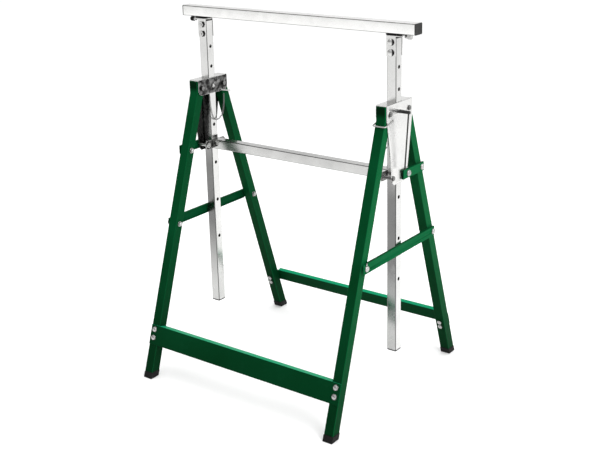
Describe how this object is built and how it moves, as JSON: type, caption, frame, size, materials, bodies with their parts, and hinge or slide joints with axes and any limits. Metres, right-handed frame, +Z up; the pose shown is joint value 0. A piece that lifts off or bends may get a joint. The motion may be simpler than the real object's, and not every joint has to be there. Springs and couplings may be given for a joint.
{
  "type": "folding sawhorse",
  "caption": "Folding trestle with splayed tube legs and a square-tube beam on telescoping posts, held at one of several heights by lock pins.",
  "frame": {"origin": "on the floor, midway between the four feet", "axes": "+X along the beam, -Y is the front, +Z is up"},
  "size_m": [0.686, 0.5722, 0.9136],
  "materials": {
    "zinc_plate": "bright zinc plating",
    "green_paint": "semi-gloss powder coat",
    "black_plastic": "matt",
    "dark_steel": "satin dark coating",
    "chain_steel": "zinc plating"
  },
  "bodies": {
    "guide": {"saddle_R": "zinc_plate", "saddle_L": "zinc_plate", "lower_plate_R": "zinc_plate", "lower_plate_L": "zinc_plate", "front_pivot_bolt_R": "zinc_plate", "front_pivot_bolt_L": "zinc_plate", "back_pivot_bolt_R": "zinc_plate", "back_pivot_bolt_L": "zinc_plate", "plain_lower_bolt_R": "zinc_plate", "plain_lower_bolt_L": "zinc_plate", "link_lower_bolt_R": "zinc_plate", "link_lower_bolt_L": "zinc_plate", "crossbar": "zinc_plate", "chain_R": "chain_steel", "chain_L": "chain_steel"},
    "support": {"beam": "zinc_plate", "beam_cap_R": "black_plastic", "beam_cap_L": "black_plastic", "pad_R": "black_plastic", "pad_L": "black_plastic", "post_R": "zinc_plate", "post_L": "zinc_plate", "post_cap_R": "black_plastic", "post_cap_L": "black_plastic", "post_bracket_R": "zinc_plate", "post_bracket_L": "zinc_plate", "upper_carriage_bolt_R": "zinc_plate", "upper_carriage_bolt_L": "zinc_plate", "lower_carriage_bolt_R": "zinc_plate", "lower_carriage_bolt_L": "zinc_plate", "stop_R": "black_plastic", "stop_L": "black_plastic"},
    "front_frame": {"leg_front_R": "green_paint", "leg_front_L": "green_paint", "foot_front_R": "black_plastic", "foot_front_L": "black_plastic", "lower_bar_front": "green_paint", "strut_catch_R": "zinc_plate"},
    "back_frame": {"leg_back_R": "green_paint", "leg_back_L": "green_paint", "foot_back_R": "black_plastic", "foot_back_L": "black_plastic", "lower_bar_back": "green_paint", "strut_catch_L": "zinc_plate"},
    "strut_right": {"strut_R": "green_paint", "strut_bolt_R": "zinc_plate"},
    "strut_left": {"strut_L": "green_paint", "strut_bolt_L": "zinc_plate"},
    "link_right": {"link_R": "green_paint", "link_bolt_R": "zinc_plate"},
    "link_left": {"link_L": "green_paint", "link_bolt_L": "zinc_plate"},
    "pin_right": {"lock_pin_R": "dark_steel", "lock_pin_tip_R": "dark_steel"},
    "pin_left": {"lock_pin_L": "dark_steel", "lock_pin_tip_L": "dark_steel"},
    "bail_right": {"bail_R": "zinc_plate"},
    "bail_left": {"bail_L": "zinc_plate"}
  },
  "joints": [
    {"name": "front_fold", "type": "hinge", "parent": "guide", "child": "front_frame", "pos_m": [0, -0.041, 0.7105], "axis": [1, 0, 0], "range_deg": [0, 15.5]},
    {"name": "back_fold", "type": "hinge", "parent": "guide", "child": "back_frame", "pos_m": [0, 0.041, 0.7105], "axis": [-1, 0, 0], "range_deg": [0, 15.5]},
    {"name": "beam_height", "type": "slide", "parent": "guide", "child": "support", "axis": [0, 0, 1], "range_m": [-0.102, 0.408]},
    {"name": "strut_swing_right", "type": "hinge", "parent": "back_frame", "child": "strut_right", "pos_m": [0.2933, 0.14926, 0.378], "axis": [1, 0, 0], "range_deg": [0, 105.4]},
    {"name": "strut_swing_left", "type": "hinge", "parent": "front_frame", "child": "strut_left", "pos_m": [-0.2933, -0.14926, 0.378], "axis": [-1, 0, 0], "range_deg": [0, 105.4]},
    {"name": "link_swing_right", "type": "hinge", "parent": "guide", "child": "link_right", "pos_m": [0.2991, 0.029, 0.558], "axis": [-1, 0, 0], "range_deg": [0, 77.5]},
    {"name": "link_swing_left", "type": "hinge", "parent": "guide", "child": "link_left", "pos_m": [-0.2991, -0.029, 0.558], "axis": [1, 0, 0], "range_deg": [0, 77.5]},
    {"name": "pin_pull_right", "type": "slide", "parent": "guide", "child": "pin_right", "axis": [1, 0, 0], "range_m": [0, 0.045]},
    {"name": "pin_pull_left", "type": "slide", "parent": "guide", "child": "pin_left", "axis": [-1, 0, 0], "range_m": [0, 0.045]},
    {"name": "bail_swing_right", "type": "hinge", "parent": "guide", "child": "bail_right", "pos_m": [0.28, -0.031, 0.694], "axis": [-1, 0, 0], "range_deg": [0, 35]},
    {"name": "bail_swing_left", "type": "hinge", "parent": "guide", "child": "bail_left", "pos_m": [-0.28, 0.031, 0.694], "axis": [1, 0, 0], "range_deg": [0, 35]}
  ],
  "couplings": [
    {"joint": "back_fold", "follows": "front_fold", "ratio": 1},
    {"joint": "strut_swing_right", "follows": "front_fold", "ratio": 6.8},
    {"joint": "strut_swing_left", "follows": "front_fold", "ratio": 6.8},
    {"joint": "link_swing_right", "follows": "front_fold", "ratio": 5},
    {"joint": "link_swing_left", "follows": "front_fold", "ratio": 5}
  ]
}
